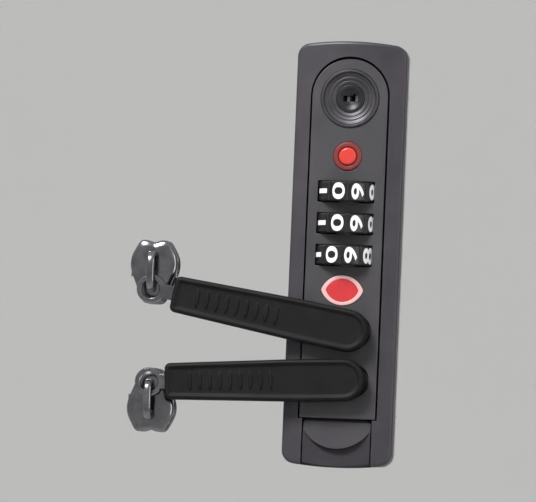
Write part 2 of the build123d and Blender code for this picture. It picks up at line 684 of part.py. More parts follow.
# reset button: pushed in, its wedge drives the shaft down by the same distance
RESET_PROUD = 4.2
RESET_FLANGE_R, RESET_FLANGE_FRONT, RESET_FLANGE_T = 2.6, 1.6, 0.5
RESET_STEM_BACK = 2.3
WEDGE_FRONT = 1.7
with BuildPart() as reset_button:
    with BuildSketch(at(-RESET_PROUD)):
        with Locations((0, RESET_Z)):
            Circle(RESET_R)
    extrude(amount=-(RESET_PROUD + RESET_STEM_BACK))
    fillet(reset_button.faces().sort_by(Axis.Y)[0].edges(), 0.5)
    with BuildSketch(at(-RESET_FLANGE_FRONT)):
        with Locations((0, RESET_Z)):
            Circle(RESET_FLANGE_R)
    extrude(amount=-RESET_FLANGE_T)
    with BuildSketch(Plane.YZ.offset(-2 * RESET_R)):
        with BuildLine():
            Polyline(
                (-WEDGE_FRONT, WEDGE_Z - WEDGE_FRONT),
                (RESET_STEM_BACK + 1, WEDGE_Z + RESET_STEM_BACK + 1),
                (RESET_STEM_BACK + 1, WEDGE_Z - 3 * RESET_R),
                (-WEDGE_FRONT, WEDGE_Z - 3 * RESET_R),
                (-WEDGE_FRONT, WEDGE_Z - WEDGE_FRONT),
            )
        make_face()
    extrude(amount=4 * RESET_R, mode=Mode.SUBTRACT)
reset_button.part.label = "reset_button"
export_step(reset_button.part, "parts/reset_button.step")

RESET_COLLAR_BACK, RESET_COLLAR_T = 1.9, 2.0
with BuildPart() as reset_collar:
    with BuildSketch(at(-RESET_COLLAR_BACK)):
        with Locations((0, RESET_Z)):
            Circle(RESET_COLLAR_R)
            Circle(RESET_R + RUNNING, mode=Mode.SUBTRACT)
    extrude(amount=RESET_COLLAR_T)
    chamfer(reset_collar.faces().sort_by(Axis.Y)[0].edges(), 0.3)
reset_collar.part.label = "reset_collar"
export_step(reset_collar.part, "parts/reset_collar.step")

# detent spring: one flat spring with a finger behind each dial
LEAF_Y, LEAF_T = 7.45, 0.3
LEAF_SPINE_X, LEAF_SPINE_W = 5.5, 2.0
LEAF_TOP, LEAF_LOW = DIAL_ZS[0] + 1.3, -7.2
LEAF_FINGER_X, LEAF_FINGER_L, LEAF_FINGER_H = 1.6, 6.6, 2.6
with BuildPart() as detent_spring:
    with BuildSketch(at(LEAF_Y)):
        with Locations((LEAF_SPINE_X, (LEAF_TOP + LEAF_LOW) / 2)):
            Rectangle(LEAF_SPINE_W, LEAF_TOP - LEAF_LOW)
        for z in DIAL_ZS:
            with Locations((LEAF_FINGER_X, z)):
                Rectangle(LEAF_FINGER_L, LEAF_FINGER_H)
    extrude(amount=-LEAF_T)
detent_spring.part.label = "detent_spring"
export_step(detent_spring.part, "parts/detent_spring.step")

# fence bar: its fingers point at the gates of the sleeves
FENCE_FRONT, FENCE_T = 8.7, 0.5
FENCE_TOP, FENCE_LOW = 17.5, -12.0
FINGER_TIP = 3.4
FINGER_DROP, FINGER_W, FINGER_H = 3.0, 1.2, 0.8
FENCE_W = 4.0
HEEL_W, HEEL_H, HEEL_T = 2.4, 0.8, 0.5
with BuildPart() as fence_bar:
    with BuildSketch(at(FENCE_FRONT)):
        with Locations((0, (FENCE_TOP + FENCE_LOW) / 2)):
            Rectangle(FENCE_W, FENCE_TOP - FENCE_LOW)
    extrude(amount=-FENCE_T)
    with BuildSketch(at(FENCE_FRONT)):
        for z in DIAL_ZS:
            with Locations((0, z - FINGER_DROP)):
                Rectangle(FINGER_W, FINGER_H)
    extrude(amount=FENCE_FRONT - FINGER_TIP)
    with BuildSketch(at(FENCE_FRONT + FENCE_T)):
        with Locations((0, FENCE_LOW + HEEL_H / 2)):
            Rectangle(HEEL_W, HEEL_H)
    extrude(amount=-HEEL_T)
fence_bar.part.label = "fence_bar"
export_step(fence_bar.part, "parts/fence_bar.step")

# ================================================================================================
# release button, and the latch plate that rides with it
# ================================================================================================
TAIL_TOP = THICK_BOTTOM - 0.3
STEM_TOP, STEM_LOW = -37.6, -39.6
with BuildPart() as release_button:
    # thumb ramp: it rises towards a curved crest and drops off below it
    with BuildSketch(at(-BUTTON_BACK)):
        with BuildLine():
            Polyline(
                (-BUTTON_W / 2, CREST_SIDE_Z),
                (-BUTTON_W / 2, BUTTON_TOP),
                (BUTTON_W / 2, BUTTON_TOP),
                (BUTTON_W / 2, CREST_SIDE_Z),
            )
            ThreePointArc(
                (BUTTON_W / 2, CREST_SIDE_Z), (0, CREST_LOW_Z), (-BUTTON_W / 2, CREST_SIDE_Z)
            )
        make_face()
    extrude(amount=CREST_FRONT - BUTTON_BACK)
    with BuildSketch(Plane.YZ.offset(-BUTTON_W / 2 - 1)):
        with BuildLine():
            Polyline(
                (-RAMP_FOOT, BUTTON_TOP),
                (-CREST_FRONT, CREST_LOW_Z),
                (-CREST_FRONT - 1, CREST_LOW_Z),
                (-CREST_FRONT - 1, BUTTON_TOP + 1),
                (-RAMP_FOOT, BUTTON_TOP + 1),
                (-RAMP_FOOT, BUTTON_TOP),
            )
        make_face()
    extrude(amount=BUTTON_W + 2, mode=Mode.SUBTRACT)
    # the flat front below the crest
    with BuildSketch(at(-BUTTON_BACK)):
        with BuildLine():
            Polyline(
                (BUTTON_W / 2, CREST_SIDE_Z),
                (BUTTON_W / 2, BUTTON_BOTTOM),
            )
            ThreePointArc(
                (BUTTON_W / 2, BUTTON_BOTTOM),
                (0, BUTTON_BOTTOM - BUTTON_BOW),
                (-BUTTON_W / 2, BUTTON_BOTTOM),
            )
            Line((-BUTTON_W / 2, BUTTON_BOTTOM), (-BUTTON_W / 2, CREST_SIDE_Z))
            ThreePointArc(
                (-BUTTON_W / 2, CREST_SIDE_Z), (0, CREST_LOW_Z), (BUTTON_W / 2, CREST_SIDE_Z)
            )
        make_face()
    extrude(amount=BUTTON_FRONT - BUTTON_BACK)
    low_edges = release_button.edges().filter_by(lambda e: e.center().Z < BUTTON_BOTTOM + 1)
    fillet(low_edges.sort_by(Axis.Y)[0], 0.3)
    # tail that closes the opening behind it when the button is down
    with BuildSketch(at(-BUTTON_BACK)):
        with Locations((0, (TAIL_TOP + BUTTON_TOP) / 2 - 0.5)):
            Rectangle(BUTTON_W - 0.6, TAIL_TOP - BUTTON_TOP + 1.0)
    extrude(amount=0.8)
release_button.part.label = "release_button"
export_step(release_button.part, "parts/release_button.step")

LATCH_FRONT, LATCH_BACK = 6.0, 7.2
LATCH_TOP, LATCH_LOW = -12.5, -39.8
HOOK_W = 3.2
HOOK_FRONT = EYE_FRONT + 0.3
HOOK_BACK = EYE_BACK - 0.6
HOOK_BEVEL = HOOK_DEPTH * PULL_TRAVEL / RELEASE_TRAVEL
HOOK_ARM = 4.0
EAR_Z, EAR_T = -34.6, 1.0
SPRING_X, SPRING_Y = 5.9, 4.5
with BuildPart() as latch_plate:
    with BuildSketch(at(LATCH_FRONT)):
        with Locations((0, (LATCH_TOP + LATCH_LOW) / 2)):
            RectangleRounded(9.0, LATCH_TOP - LATCH_LOW, 1.0)
    extrude(amount=-(LATCH_BACK - LATCH_FRONT))
    # stem forward to the button
    with BuildSketch(at(LATCH_FRONT)):
        with Locations((0, (STEM_TOP + STEM_LOW) / 2)):
            Rectangle(6.0, STEM_TOP - STEM_LOW)
    extrude(amount=LATCH_FRONT + BUTTON_BACK)
    # bevelled hooks that reach up into the tongues' eyes
    for name in PULLS:
        tongue_x, tongue_z = PULLS[name][0]
        eye_z = tongue_z - TONGUE_T / 2
        with BuildSketch(Plane.YZ.offset(tongue_x - HOOK_W / 2)):
            with BuildLine():
                Polyline(
                    (LATCH_FRONT, eye_z - HOOK_ARM),
                    (HOOK_FRONT, eye_z - HOOK_ARM),
                    (HOOK_FRONT, eye_z + HOOK_DEPTH),
                    (HOOK_BACK - HOOK_BEVEL, eye_z + HOOK_DEPTH),
                    (HOOK_BACK, eye_z),
                    (HOOK_BACK, eye_z - 1.2),
                    (LATCH_FRONT, eye_z - 1.2),
                    (LATCH_FRONT, eye_z - HOOK_ARM),
                )
            make_face()
        extrude(amount=HOOK_W)
    # ears for the springs
    with BuildSketch(Plane.XY.offset(EAR_Z)):
        with Locations((-SPRING_X, LATCH_BACK / 2 + 1.6), (SPRING_X, LATCH_BACK / 2 + 1.6)):
            Rectangle(3.2, LATCH_BACK - 3.2)
    extrude(amount=EAR_T)
    # arm behind the fence bar, with a shallow ramp for it
    with BuildSketch(Plane.YZ.offset(-1.2)):
        with BuildLine():
            Polyline(
                (LATCH_BACK, -20.0),
                (11.3, -20.0),
                (11.3, -7.3),
                (9.42, -7.3),
                (10.1, -11.9),
                (10.1, -18.5),
                (LATCH_BACK, -18.5),
                (LATCH_BACK, -20.0),
            )
        make_face()
    extrude(amount=2.4)
latch_plate.part.label = "latch_plate"
export_step(latch_plate.part, "parts/latch_plate.step")

LATCH_SPRING_LOW = HOUSING_BOTTOM + HOUSING_WALL + 0.3
LATCH_SPRING_TOP = EAR_Z - 0.3
with BuildPart() as latch_springs:
    for x in (-SPRING_X, SPRING_X):
        with BuildLine():
            coil = Helix(
                pitch=(LATCH_SPRING_TOP - LATCH_SPRING_LOW) / 6,
                height=LATCH_SPRING_TOP - LATCH_SPRING_LOW,
                radius=1.1,
                center=(x, SPRING_Y, LATCH_SPRING_LOW),
            )
        with BuildSketch(Plane(origin=coil @ 0, z_dir=coil % 0)):
            Circle(0.2)
        sweep(path=coil, is_frenet=True)
latch_springs.part.label = "latch_springs"
export_step(latch_springs.part, "parts/latch_springs.step")

# ================================================================================================
# the two pulls: metal tongue, moulded strap and ring, each with its zipper slider
# ================================================================================================
for name in PULLS:
    (tongue_x, tongue_z), (leg_x, leg_z), way = PULLS[name]
    reach = hypot(leg_x - tongue_x, leg_z - tongue_z)
    along = ((leg_x - tongue_x) / reach, 0, (leg_z - tongue_z) / reach)
    strap_plane = Plane(origin=(tongue_x, -STRAP_BACK, tongue_z), x_dir=along, z_dir=(0, -1, 0))
    ring_plane = Plane(origin=(tongue_x, -RING_BACK, tongue_z), x_dir=along, z_dir=(0, -1, 0))
    root_front = STRAP_BACK - 0.9

    with BuildPart() as tongue:
        with BuildSketch(Plane.XY.offset(tongue_z - TONGUE_T / 2)):
            with Locations((tongue_x, (TONGUE_TIP - root_front) / 2)):
                Rectangle(TONGUE_W, TONGUE_TIP + root_front)
            chamfer(vertices().group_by(Axis.Y)[-1], 0.9)
            with Locations((tongue_x, (EYE_FRONT + EYE_BACK) / 2)):
                RectangleRounded(EYE_W, EYE_BACK - EYE_FRONT, 0.5, mode=Mode.SUBTRACT)
        extrude(amount=TONGUE_T)
    tongue.part.label = f"{name}_tongue"
    export_step(tongue.part, f"parts/{name}_tongue.step")

    with BuildPart() as strap:
        with BuildSketch(strap_plane):
            with BuildLine():
                Polyline(
                    (0, STRAP_R),
                    (STRAP_LENGTH - STRAP_TAPER, STRAP_R),
                    (STRAP_LENGTH - STRAP_CORNER, STRAP_TAIL_HALF_W),
                    (STRAP_LENGTH, STRAP_TAIL_HALF_W - STRAP_CORNER),
                    (STRAP_LENGTH, STRAP_CORNER - STRAP_TAIL_HALF_W),
                    (STRAP_LENGTH - STRAP_CORNER, -STRAP_TAIL_HALF_W),
                    (STRAP_LENGTH - STRAP_TAPER, -STRAP_R),
                    (0, -STRAP_R),
                )
                ThreePointArc((0, -STRAP_R), (-STRAP_R, 0), (0, STRAP_R))
            make_face()
        extrude(amount=STRAP_T)
        fillet(strap.faces().sort_by(Axis.Y)[0].edges(), 0.8)
        # boss that seats in the lock's pocket
        with BuildSketch(strap_plane):
            Circle(BOSS_END_R)
        extrude(amount=-(STRAP_BACK - 2.0))
        with BuildSketch(at(0)):
            with Locations((tongue_x, tongue_z)):
                Rectangle(TONGUE_W, TONGUE_T)
        extrude(amount=root_front, mode=Mode.SUBTRACT)
        # slot for the ring's tab
        with BuildSketch(ring_plane):
            with Locations((STRAP_LENGTH - 1.5, 0)):
                Rectangle(3.0, 3.2)
        extrude(amount=RING_FRONT - RING_BACK, mode=Mode.SUBTRACT)
    strap.part.label = f"{name}_strap"
    export_step(strap.part, f"parts/{name}_strap.step")

    with BuildPart() as ring:
        with BuildSketch(ring_plane):
            with Locations((reach, 0)):
                Circle(RING_R)
            with Locations(((reach + STRAP_LENGTH - 3) / 2, 0)):
                Rectangle(reach - STRAP_LENGTH + 3, 3.2)
            with Locations((reach, 0)):
                Circle(RING_HOLE_R, mode=Mode.SUBTRACT)
        extrude(amount=RING_FRONT - RING_BACK)
        chamfer(ring.edges().filter_by(GeomType.CIRCLE), 0.2)
    ring.part.label = f"{name}_ring"
    export_step(ring.part, f"parts/{name}_ring.step")

    # the slider lies along the zipper, its middle CROWN_HALF from the leg the ring hangs on
    slider_z = leg_z + way * CROWN_HALF
    slider_plane = Plane(
        origin=(leg_x, -SLIDER_FRONT, slider_z), x_dir=(way, 0, 0), z_dir=(0, -1, 0)
    )
    half = SLIDER_LENGTH / 2
    outline = [
        (SLIDER_NOSE_W / 2, -half),
        (SLIDER_W / 2, -0.5),
        (SLIDER_W / 2, 3.0),
        (3.4, half),
    ]
    corners = outline + [(-x, z) for x, z in reversed(outline)]
    with BuildPart() as slider_body:
        for depth in (0, SLIDER_PLATE_T + SLIDER_GAP):
            with BuildSketch(slider_plane.offset(-depth)):
                with BuildLine():
                    Polyline(*corners, close=True)
                make_face()
                fillet(vertices(), 1.2)
            extrude(amount=-SLIDER_PLATE_T)
        # the diamond that parts the two rows of teeth
        with BuildSketch(slider_plane.offset(-SLIDER_PLATE_T)):
            with Locations((0, 4.4)):
                RegularPolygon(2.0, 4)
        extrude(amount=-SLIDER_GAP)
        # side flanges on the front plate
        with BuildSketch(slider_plane.offset(-SLIDER_PLATE_T)):
            with BuildLine():
                Polyline(*corners, close=True)
            make_face()
            fillet(vertices(), 1.2)
            with BuildLine():
                Polyline(*[(x * 0.82, z * 1.3) for x, z in corners], close=True)
            make_face(mode=Mode.SUBTRACT)
        extrude(amount=-0.8)
        fillet(slider_body.faces().sort_by(Axis.Y)[0].edges(), 0.45)
    slider_body.part.label = f"{name}_slider_body"
    export_step(slider_body.part, f"parts/{name}_slider_body.step")

    with BuildPart() as crown:
        with BuildSketch(Plane.YZ.offset(leg_x - CROWN_W / 2)):
            with Locations((-(CROWN_TOP + SLIDER_FRONT) / 2, slider_z)):
                Rectangle(CROWN_TOP - SLIDER_FRONT, 2 * CROWN_HALF + 1.4)
            fillet(vertices().group_by(Axis.X)[0], 2.0)
            with Locations((-(CROWN_TOP - CROWN_BAR_T + SLIDER_FRONT) / 2, slider_z)):
                Rectangle(
                    CROWN_TOP - CROWN_BAR_T - SLIDER_FRONT,
                    2 * CROWN_HALF - 1.4,
                    mode=Mode.SUBTRACT,
                )
        extrude(amount=CROWN_W)
        fillet(crown.faces().sort_by(Axis.Y)[0].edges().filter_by(Axis.Z), 0.4)
    crown.part.label = f"{name}_slider_crown"
    export_step(crown.part, f"parts/{name}_slider_crown.step")
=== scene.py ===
import json
import math

import bmesh
import bpy
from mathutils import Matrix, Vector


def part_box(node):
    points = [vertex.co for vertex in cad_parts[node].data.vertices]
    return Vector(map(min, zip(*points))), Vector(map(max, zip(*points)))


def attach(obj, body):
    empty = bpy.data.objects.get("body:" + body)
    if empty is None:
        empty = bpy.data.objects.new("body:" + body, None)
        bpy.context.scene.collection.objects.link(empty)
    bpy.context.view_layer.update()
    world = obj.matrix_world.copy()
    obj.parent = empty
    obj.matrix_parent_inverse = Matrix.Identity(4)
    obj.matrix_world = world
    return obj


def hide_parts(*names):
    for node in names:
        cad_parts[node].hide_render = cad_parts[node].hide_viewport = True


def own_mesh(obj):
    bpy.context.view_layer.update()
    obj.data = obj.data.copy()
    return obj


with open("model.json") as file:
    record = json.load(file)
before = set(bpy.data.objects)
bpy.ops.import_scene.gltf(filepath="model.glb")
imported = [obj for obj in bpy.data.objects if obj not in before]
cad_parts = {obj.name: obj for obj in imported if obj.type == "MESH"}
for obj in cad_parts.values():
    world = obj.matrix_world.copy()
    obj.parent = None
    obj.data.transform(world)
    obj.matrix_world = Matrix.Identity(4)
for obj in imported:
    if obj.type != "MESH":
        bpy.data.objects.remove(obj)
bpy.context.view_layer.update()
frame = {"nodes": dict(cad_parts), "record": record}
scene = bpy.context.scene
nodes = frame["nodes"]
MM = 0.001


# ---- camera ------------------------------------------------------------------------------------
AZIMUTH, ELEVATION, LEAN = 9.0, -3.0, 2.4  # degrees; the lean rolls the camera
AIM = Vector((-17.8, 0.0, 0.3)) * MM
DISTANCE = 1.35
SENSOR_WIDTH = 36.0
FRAME_WIDTH = 0.121  # width of the view at the object
cam_data = bpy.data.cameras.new("camera")
cam = bpy.data.objects.new("camera", cam_data)
scene.collection.objects.link(cam)
az, el = math.radians(AZIMUTH), math.radians(ELEVATION)
back = Vector((math.sin(az) * math.cos(el), -math.cos(az) * math.cos(el), math.sin(el)))
cam.location = AIM + back * DISTANCE
cam.rotation_mode = "QUATERNION"
cam.rotation_quaternion = (
    (-back).to_track_quat("-Z", "Y").to_matrix() @ Matrix.Rotation(math.radians(LEAN), 3, "Z")
).to_quaternion()
cam_data.sensor_width = SENSOR_WIDTH
cam_data.lens = SENSOR_WIDTH * DISTANCE / FRAME_WIDTH
cam_data.clip_start, cam_data.clip_end = 0.1, 20.0
scene.camera = cam


# ---- materials ---------------------------------------------------------------------------------
DUST_TONE = (0.45, 0.44, 0.42)
# painted shade: the dark tone mixed into corners and grooves, and the reach of the occlusion that
# finds them
PAINTED_SHADE_TONE = (0.008, 0.008, 0.008)
PAINTED_SHADE_REACH = 0.0012


class Tree:
    """A material's node tree, with short calls for the nodes used here."""

    def __init__(self, name):
        self.material = bpy.data.materials.new(name)
        self.material.use_nodes = True
        self.nodes = self.material.node_tree.nodes
        self.links = self.material.node_tree.links
        self.shader = self.nodes["Principled BSDF"]
        self.coords = self.add("ShaderNodeTexCoord").outputs["Object"]

    def add(self, kind, **values):
        node = self.nodes.new(kind)
        for key, value in values.items():
            setattr(node, key, value)
        return node

    def link(self, a, b):
        self.links.new(a, b)

    def noise(self, scale, detail=3.0, rough=0.55, coords=None, stretch=None):
        node = self.add("ShaderNodeTexNoise")
        node.inputs["Scale"].default_value = scale
        node.inputs["Detail"].default_value = detail
        node.inputs["Roughness"].default_value = rough
        source = coords or self.coords
        if stretch:
            mapping = self.add("ShaderNodeMapping")
            mapping.inputs["Scale"].default_value = stretch
            self.link(source, mapping.inputs["Vector"])
            source = mapping.outputs["Vector"]
        self.link(source, node.inputs["Vector"])
        return node.outputs["Fac"]

    def ramp(self, value, low, high, a, b):
        """value mapped from low..high to a..b, held within them."""
        node = self.add("ShaderNodeMapRange")
        node.inputs["From Min"].default_value = low
        node.inputs["From Max"].default_value = high
        node.inputs["To Min"].default_value = a
        node.inputs["To Max"].default_value = b
        self.link(value, node.inputs["Value"])
        return node.outputs["Result"]

    def mix(self, factor, a, b):
        node = self.add("ShaderNodeMix", data_type="RGBA")
        self.link(factor, node.inputs["Factor"])
        for value, socket in ((a, node.inputs[6]), (b, node.inputs[7])):
            if isinstance(value, tuple):
                socket.default_value = (*value, 1.0)
            else:
                self.link(value, socket)
        return node.outputs[2]

    def math(self, operation, a, b):
        node = self.add("ShaderNodeMath", operation=operation)
        for value, socket in ((a, node.inputs[0]), (b, node.inputs[1])):
            if isinstance(value, (int, float)):
                socket.default_value = value
            else:
                self.link(value, socket)
        return node.outputs[0]

    def bump(self, height, strength, distance, normal=None):
        node = self.add("ShaderNodeBump")
        node.inputs["Strength"].default_value = strength
        node.inputs["Distance"].default_value = distance
        self.link(height, node.inputs["Height"])
        if normal is not None:
            self.link(normal, node.inputs["Normal"])
        return node.outputs["Normal"]

    def rounded(self, radius):
        """Softened edges, and a mask that is 1 along them."""
        bevel = self.add("ShaderNodeBevel", samples=6)
        bevel.inputs["Radius"].default_value = radius
        geometry = self.add("ShaderNodeNewGeometry")
        dot = self.add("ShaderNodeVectorMath", operation="DOT_PRODUCT")
        self.link(bevel.outputs["Normal"], dot.inputs[0])
        self.link(geometry.outputs["Normal"], dot.inputs[1])
        return bevel.outputs["Normal"], self.ramp(dot.outputs["Value"], 0.995, 0.80, 0.0, 1.0)


def moulded(name, dark, light, rough, grain=2600.0, grain_depth=0.00002, wear=None, edge=0.00018,
            specular=0.5, dust=0.0, painted_shade=0.0):
    """Moulded plastic or rubber: fine grain, slow tone changes and paler worn edges.

    wear is the edges' tone; dust is the share of specks; the last share is painted shade: a
    darkening of the colour in corners and grooves, where shade falls.
    """
    t = Tree(name)
    tone = t.mix(t.ramp(t.noise(160.0, 5.0), 0.3, 0.7, 0.0, 1.0), dark, light)
    normal, edges = t.rounded(edge)
    if wear:
        patchy = t.math("MULTIPLY", edges, t.ramp(t.noise(700.0, 4.0), 0.35, 0.65, 0.15, 1.0))
        tone = t.mix(patchy, tone, wear)
    if dust:
        specks = t.ramp(t.noise(5200.0, 1.0), 0.74, 0.80, 0.0, dust)
        tone = t.mix(specks, tone, DUST_TONE)
    # painted shade: an ambient-occlusion mask darkens the colour in corners, grooves and recesses,
    # where shade falls
    if painted_shade:
        shade_occlusion = t.add("ShaderNodeAmbientOcclusion", samples=6)
        shade_occlusion.inputs["Distance"].default_value = PAINTED_SHADE_REACH
        tone = t.mix(t.ramp(shade_occlusion.outputs["AO"], 0.35, 0.85, painted_shade, 0.0), tone, PAINTED_SHADE_TONE)
    t.link(tone, t.shader.inputs["Base Color"])
    smear = t.noise(90.0, 4.0)
    t.link(t.ramp(smear, 0.25, 0.75, rough - 0.07, rough + 0.08), t.shader.inputs["Roughness"])
    grained = t.bump(t.noise(grain, 2.0), 0.35, grain_depth, normal)
    t.link(t.bump(t.noise(320.0, 2.0), 0.12, 0.00008, grained), t.shader.inputs["Normal"])
    t.shader.inputs["Specular IOR Level"].default_value = specular
    return t.material


def metal(name, dark, light, rough, lines=None, scratch=0.25, edge=0.00012, metallic=1.0,
          rings=None):
    """Metal with smudges, small scratches and brighter edges.

    lines stretches its drawn lines along an axis; rings is the centre and scale of turned ones.
    """
    t = Tree(name)
    smudge = t.noise(220.0, 6.0, 0.65)
    tone = t.mix(t.ramp(smudge, 0.3, 0.7, 0.0, 1.0), dark, light)
    normal, edges = t.rounded(edge)
    brighter = tuple(min(1.0, c * 1.6 + 0.05) for c in light)
    tone = t.mix(t.math("MULTIPLY", edges, 0.6), tone, brighter)
    t.link(tone, t.shader.inputs["Base Color"])
    t.link(t.ramp(smudge, 0.25, 0.75, rough - 0.06, rough + 0.12), t.shader.inputs["Roughness"])
    t.shader.inputs["Metallic"].default_value = metallic
    if rings:
        centre, scale = rings
        mapping = t.add("ShaderNodeMapping")
        mapping.inputs["Location"].default_value = tuple(-c for c in centre)
        t.link(t.coords, mapping.inputs["Vector"])
        wave = t.add("ShaderNodeTexWave", wave_type="RINGS", rings_direction="Y")
        wave.inputs["Scale"].default_value = scale
        wave.inputs["Distortion"].default_value = 0.6
        t.link(mapping.outputs["Vector"], wave.inputs["Vector"])
        normal = t.bump(wave.outputs["Fac"], 0.35, 0.00003, normal)
    if lines:
        normal = t.bump(t.noise(900.0, 2.0, stretch=lines), 0.25, 0.00002, normal)
    scratches = t.ramp(t.noise(1500.0, 2.0, stretch=(1.0, 1.0, 0.12)), 0.60, 0.66, 0.0, 1.0)
    t.link(t.bump(scratches, scratch, 0.00001, normal), t.shader.inputs["Normal"])
    return t.material


KEY_CENTRE = (0.0, 0.0, 0.0351)
DRAWN_UP, DRAWN_ACROSS = (1.0, 1.0, 0.05), (0.05, 1.0, 1.0)
MATERIALS = {
    # the bezel, panel and button plastics get painted shade in their corners and grooves
    "bezel_plastic": moulded(
        "bezel_plastic", (0.032, 0.028, 0.035), (0.044, 0.038, 0.047), 0.42,
        wear=(0.13, 0.125, 0.14), dust=0.25, painted_shade=0.8,
    ),
    "panel_plastic": moulded(
        "panel_plastic", (0.038, 0.036, 0.040), (0.053, 0.050, 0.055), 0.42,
        wear=(0.14, 0.135, 0.15), dust=0.25, painted_shade=0.8,
    ),
    "button_plastic": moulded(
        "button_plastic", (0.026, 0.024, 0.028), (0.038, 0.035, 0.041), 0.60,
        wear=(0.12, 0.115, 0.13), dust=0.15, painted_shade=0.8, specular=0.22,
    ),
    "housing_plastic": moulded(
        "housing_plastic", (0.022, 0.022, 0.023), (0.032, 0.032, 0.033), 0.62,
        grain=1500.0, grain_depth=0.00006, wear=(0.06, 0.06, 0.062),
    ),
    "collar_plastic": moulded(
        "collar_plastic", (0.150, 0.022, 0.022), (0.200, 0.030, 0.030), 0.35,
        wear=(0.30, 0.09, 0.08),
    ),
    "sleeve_plastic": moulded("sleeve_plastic", (0.58, 0.56, 0.50), (0.66, 0.64, 0.58), 0.45),
    "dial_black": moulded(
        "dial_black", (0.006, 0.006, 0.007), (0.010, 0.010, 0.011), 0.34, wear=(0.05, 0.05, 0.052),
    ),
    "digit_white": moulded(
        "digit_white", (0.80, 0.80, 0.79), (0.90, 0.90, 0.89), 0.45, edge=0.00004,
    ),
    "pull_rubber": moulded(
        "pull_rubber", (0.0035, 0.0035, 0.0037), (0.0065, 0.0065, 0.0068), 0.58,
        grain=3600.0, grain_depth=0.00003, wear=(0.05, 0.05, 0.052), dust=0.15, specular=0.2,
    ),
    "red_button": moulded(
        "red_button", (0.55, 0.040, 0.030), (0.66, 0.055, 0.042), 0.24,
        grain=3000.0, grain_depth=0.000006, wear=(0.85, 0.22, 0.16),
    ),
    "badge_red": moulded(
        "badge_red", (0.52, 0.030, 0.036), (0.62, 0.046, 0.050), 0.18,
        grain=900.0, grain_depth=0.00001, edge=0.0001,
    ),
    "badge_rim_pale": moulded(
        "badge_rim_pale", (0.68, 0.38, 0.38), (0.78, 0.48, 0.47), 0.30, edge=0.0001,
    ),
    "cylinder_metal": metal(
        "cylinder_metal", (0.055, 0.052, 0.058), (0.085, 0.081, 0.090), 0.34,
        rings=(KEY_CENTRE, 900.0), metallic=0.65,
    ),
    "plug_metal": metal(
        "plug_metal", (0.026, 0.025, 0.028), (0.045, 0.044, 0.047), 0.32,
        rings=(KEY_CENTRE, 1200.0), metallic=0.7,
    ),
    "screw_steel": metal("screw_steel", (0.42, 0.42, 0.43), (0.55, 0.55, 0.56), 0.30),
    "backing_steel": metal(
        "backing_steel", (0.46, 0.46, 0.46), (0.56, 0.56, 0.56), 0.38, lines=DRAWN_UP,
    ),
    "inner_steel": metal(
        "inner_steel", (0.48, 0.48, 0.49), (0.60, 0.60, 0.61), 0.34, lines=DRAWN_UP,
    ),
    "spring_steel": metal("spring_steel", (0.36, 0.36, 0.38), (0.48, 0.48, 0.50), 0.25),
    "tongue_steel": metal(
        "tongue_steel", (0.42, 0.42, 0.43), (0.54, 0.54, 0.55), 0.32, lines=DRAWN_ACROSS,
    ),
    "wafer_metal": metal("wafer_metal", (0.40, 0.385, 0.35), (0.55, 0.53, 0.49), 0.30),
    "slider_metal": metal(
        "slider_metal", (0.15, 0.147, 0.157), (0.30, 0.295, 0.31), 0.14, scratch=0.15,
    ),
}
for entry in frame["record"]["subparts"]:
    mesh = nodes[entry["node"]].data
    mesh.materials.clear()
    mesh.materials.append(MATERIALS[entry["material_slot"]])


# ---- mesh helpers ------------------------------------------------------------------------------
def new_object(name, bm, slot, body, smooth_angle=40.0):
    """An object from a bmesh built in millimetres, in the row frame."""
    bmesh.ops.recalc_face_normals(bm, faces=bm.faces)
    bmesh.ops.scale(bm, vec=(MM, MM, MM), verts=bm.verts)
    mesh = bpy.data.meshes.new(name)
    bm.to_mesh(mesh)
    bm.free()
    for polygon in mesh.polygons:
        polygon.use_smooth = True
    mesh.set_sharp_from_angle(angle=math.radians(smooth_angle))
    mesh.materials.append(MATERIALS[slot])
    obj = bpy.data.objects.new(name, mesh)
    scene.collection.objects.link(obj)
    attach(obj, body)
    return obj


def stack(bm, loops, cap_first=True, cap_last=True):
    """Quads between neighbouring loops of equally many points, with the ends closed."""
    rings = [[bm.verts.new(p) for p in loop] for loop in loops]
    count = len(rings[0])
    for a, b in zip(rings, rings[1:]):
        for i in range(count):
            j = (i + 1) % count
            bm.faces.new((a[i], a[j], b[j], b[i]))
    for ring, wanted in ((rings[0], cap_first), (rings[-1], cap_last)):
        if wanted:
            bm.faces.new(ring)


def oval(half_u, half_v, step, middle=(0.0, 0.0)):
    """Points round an ellipse, step degrees apart."""
    turns = [math.radians(k * step) for k in range(360 // step)]
    return [(middle[0] + half_u * math.cos(a), middle[1] + half_v * math.sin(a)) for a in turns]


def smooth_outline(corners, steps):
    """A closed smooth line through the corners (Catmull-Rom), with steps points for each."""
    points = []
    count = len(corners)
    for i in range(count):
        p0, p1, p2, p3 = (Vector(corners[(i + k) % count]) for k in (-1, 0, 1, 2))
        for s in range(steps):
            t = s / steps
            points.append(
                tuple(
                    0.5 * (2 * p1 + (p2 - p0) * t + (2 * p0 - 5 * p1 + 4 * p2 - p3) * t * t
                           + (3 * p1 - p0 - 3 * p2 + p3) * t ** 3)
                )
            )
    return points


# ---- digits on the dials -----------------------------------------------------------------------
DIAL_R = 7.1
DIAL_REST = (-10.5, -10.5, -19.0)  # how far each dial's 0 is from the front, in degrees
DIGIT_STEP = 36.0
DIGIT_TALL, DIGIT_WIDE = 2.95, 3.75  # round the dial, and along its axis
DIGIT_PROUD, DIGIT_SUNK = 0.03, 0.3
DIGIT_WEIGHT = 0.018  # how much the font's strokes are thickened
CUT_STEP, CUTS_EACH_WAY = 0.25, 6  # cuts that let a digit bend round the dial


